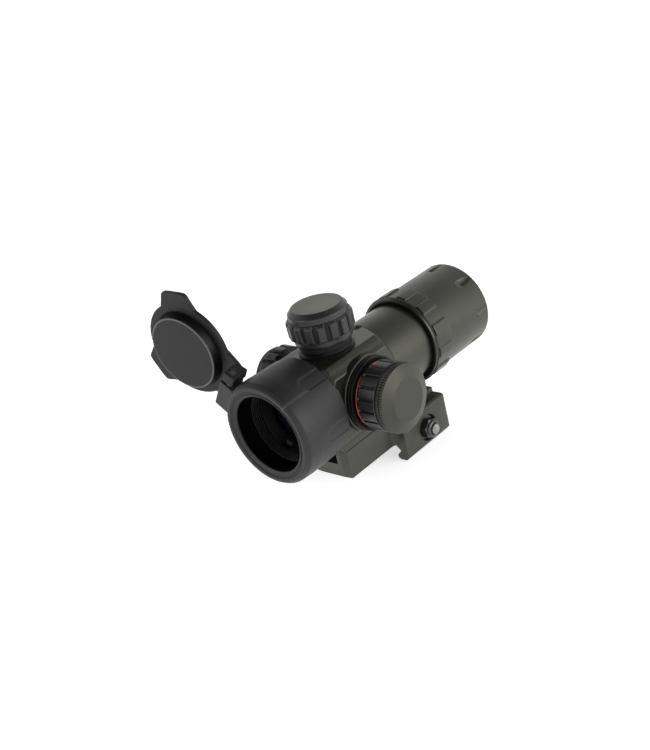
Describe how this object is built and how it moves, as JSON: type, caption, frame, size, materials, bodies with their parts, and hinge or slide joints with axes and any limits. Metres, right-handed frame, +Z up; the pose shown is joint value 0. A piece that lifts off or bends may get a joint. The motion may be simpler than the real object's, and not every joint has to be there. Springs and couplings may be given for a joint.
{
  "type": "red dot finder",
  "caption": "Compact black tube sight with a flip-open front lid, two capped adjusters, a side brightness dial, a rear sleeve and a quick-release rail clamp.",
  "frame": {"origin": "centre of the rail seat below the turrets, on the plane of the rail's flat top", "axes": "+Y along the optical axis from the front end (lid) to the rear (eye) end, +X to the side with the brightness dial, +Z up"},
  "size_m": [0.0926, 0.1088, 0.0853],
  "materials": {
    "anodised_black": "satin black anodised",
    "black_plastic": "matte black moulded",
    "rubber_black": "matte",
    "coated_glass": "polished with a violet coating",
    "bright_steel": "plain turned",
    "dark_steel": "black oxide",
    "spring_steel": "drawn",
    "contact_brass": "plated",
    "board_green": "lacquered board",
    "lamp_red": "clear red"
  },
  "bodies": {
    "housing": {"main_body": "anodised_black", "front_lens": "coated_glass", "front_lens_ring": "anodised_black", "front_lens_seal": "rubber_black", "rear_window_cell": "anodised_black", "rear_window": "coated_glass", "rear_window_ring": "anodised_black", "elevation_base": "anodised_black", "windage_base": "anodised_black", "return_spring": "spring_steel", "front_cap_ring": "black_plastic", "lid_hinge_pin": "bright_steel", "lid_spring": "spring_steel", "dial_base": "anodised_black", "switch_board": "board_green", "battery_contact": "contact_brass", "dial_detent": "spring_steel", "clamp_base": "anodised_black", "base_screws": "dark_steel", "jaw_guide_pins": "bright_steel", "jaw_springs": "spring_steel", "clamp_stud": "bright_steel", "lever_pin": "bright_steel"},
    "lid": {"lid": "black_plastic"},
    "elevation_seal": {"elevation_cap_seal": "rubber_black"},
    "elevation_cap": {"elevation_cap": "anodised_black"},
    "windage_seal": {"windage_cap_seal": "rubber_black"},
    "windage_cap": {"windage_cap": "anodised_black"},
    "elevation_adjuster": {"elevation_adjuster": "contact_brass"},
    "elevation_plunger": {"elevation_plunger": "bright_steel"},
    "windage_adjuster": {"windage_adjuster": "contact_brass"},
    "windage_plunger": {"windage_plunger": "bright_steel"},
    "pivot_ring": {"pivot_ring": "dark_steel"},
    "inner_tube": {"inner_tube": "anodised_black", "objective_lens": "coated_glass", "objective_ring": "anodised_black", "led_emitter": "lamp_red"},
    "dial": {"brightness_dial": "anodised_black", "dial_wiper": "contact_brass", "battery": "bright_steel"},
    "battery_seal": {"battery_seal": "rubber_black"},
    "battery_cap": {"battery_cap": "anodised_black"},
    "sleeve_seal": {"sleeve_seal": "rubber_black"},
    "rear_sleeve": {"rear_sleeve": "anodised_black"},
    "movable_jaw": {"movable_jaw": "anodised_black"},
    "clamp_lever": {"clamp_lever": "anodised_black"},
    "stud_washer": {"stud_washer": "dark_steel"},
    "stud_nut": {"stud_nut": "dark_steel"}
  },
  "joints": [
    {"name": "lid_hinge", "type": "hinge", "parent": "housing", "child": "lid", "pos_m": [-0.01819, -0.0329, 0.04275], "axis": [0.5678, 0, 0.8231], "range_deg": [0, 173.7], "stiffness_Nm_per_rad": 0.005, "springref_deg": -11.46},
    {"name": "elevation_cap_travel", "type": "slide", "parent": "housing", "child": "elevation_seal", "axis": [0, 0, 1], "range_m": [0, 0.0045]},
    {"name": "elevation_cap_turn", "type": "hinge", "parent": "elevation_seal", "child": "elevation_cap", "pos_m": [0, 0, 0.052], "axis": [0, 0, 1], "range_deg": [0, 2160.01]},
    {"name": "windage_cap_travel", "type": "slide", "parent": "housing", "child": "windage_seal", "axis": [-1, 0, 0], "range_m": [0, 0.0045]},
    {"name": "windage_cap_turn", "type": "hinge", "parent": "windage_seal", "child": "windage_cap", "pos_m": [-0.022, 0, 0.0302], "axis": [-1, 0, 0], "range_deg": [0, 2160.01]},
    {"name": "elevation_adjust", "type": "hinge", "parent": "housing", "child": "elevation_adjuster", "pos_m": [0, 0, 0.052], "axis": [0, 0, 1], "range_deg": [-360.01, 360.01]},
    {"name": "elevation_plunger_travel", "type": "slide", "parent": "housing", "child": "elevation_plunger", "axis": [0, 0, 1], "range_m": [-0.00035, 0.00035]},
    {"name": "tube_pitch", "type": "hinge", "parent": "housing", "child": "pivot_ring", "pos_m": [0, 0.036, 0.0302], "axis": [1, 0, 0], "range_deg": [-0.6, 0.6]},
    {"name": "windage_adjust", "type": "hinge", "parent": "housing", "child": "windage_adjuster", "pos_m": [-0.022, 0, 0.0302], "axis": [-1, 0, 0], "range_deg": [-360.01, 360.01]},
    {"name": "windage_plunger_travel", "type": "slide", "parent": "housing", "child": "windage_plunger", "axis": [-1, 0, 0], "range_m": [-0.00035, 0.00035]},
    {"name": "tube_yaw", "type": "hinge", "parent": "pivot_ring", "child": "inner_tube", "pos_m": [0, 0.036, 0.0302], "axis": [0, 0, 1], "range_deg": [-0.6, 0.6]},
    {"name": "dial_turn", "type": "hinge", "parent": "housing", "child": "dial", "pos_m": [0.025, 0, 0.0302], "axis": [1, 0, 0], "range_deg": [0, 330]},
    {"name": "battery_cap_travel", "type": "slide", "parent": "dial", "child": "battery_seal", "axis": [1, 0, 0], "range_m": [0, 0.002]},
    {"name": "battery_cap_turn", "type": "hinge", "parent": "battery_seal", "child": "battery_cap", "pos_m": [0.031, 0, 0.0302], "axis": [1, 0, 0], "range_deg": [0, 1440.01]},
    {"name": "sleeve_travel", "type": "slide", "parent": "housing", "child": "sleeve_seal", "axis": [0, 1, 0], "range_m": [0, 0.009]},
    {"name": "sleeve_turn", "type": "hinge", "parent": "sleeve_seal", "child": "rear_sleeve", "pos_m": [0, 0.05, 0.0302], "axis": [0, 1, 0], "range_deg": [0, 4320.01]},
    {"name": "lever_turn", "type": "hinge", "parent": "housing", "child": "clamp_lever", "pos_m": [-0.01985, 0.0277, 0.0002], "axis": [0, 0, -1], "range_deg": [0, 170.01]},
    {"name": "jaw_slide", "type": "slide", "parent": "housing", "child": "movable_jaw", "axis": [-1, 0, 0], "range_m": [0, 0.0022]},
    {"name": "nut_travel", "type": "slide", "parent": "housing", "child": "stud_washer", "axis": [1, 0, 0], "range_m": [0, 0.0035]},
    {"name": "nut_turn", "type": "hinge", "parent": "stud_washer", "child": "stud_nut", "pos_m": [0.015, 0.0277, 0.0002], "axis": [1, 0, 0], "range_deg": [0, 1800.01]}
  ],
  "couplings": [
    {"joint": "elevation_cap_turn", "follows": "elevation_cap_travel", "rad_per_m": 8377.6},
    {"joint": "windage_cap_turn", "follows": "windage_cap_travel", "rad_per_m": 8377.6},
    {"joint": "elevation_adjust", "follows": "elevation_plunger_travel", "rad_per_m": 17952},
    {"joint": "tube_pitch", "follows": "elevation_plunger_travel", "rad_per_m": -27.778},
    {"joint": "windage_adjust", "follows": "windage_plunger_travel", "rad_per_m": 17952},
    {"joint": "tube_yaw", "follows": "windage_plunger_travel", "rad_per_m": -27.778},
    {"joint": "battery_cap_turn", "follows": "battery_cap_travel", "rad_per_m": 12566},
    {"joint": "sleeve_turn", "follows": "sleeve_travel", "rad_per_m": 8377.6},
    {"joint": "lever_turn", "follows": "jaw_slide", "rad_per_m": 1348.7},
    {"joint": "nut_turn", "follows": "nut_travel", "rad_per_m": 8976}
  ]
}
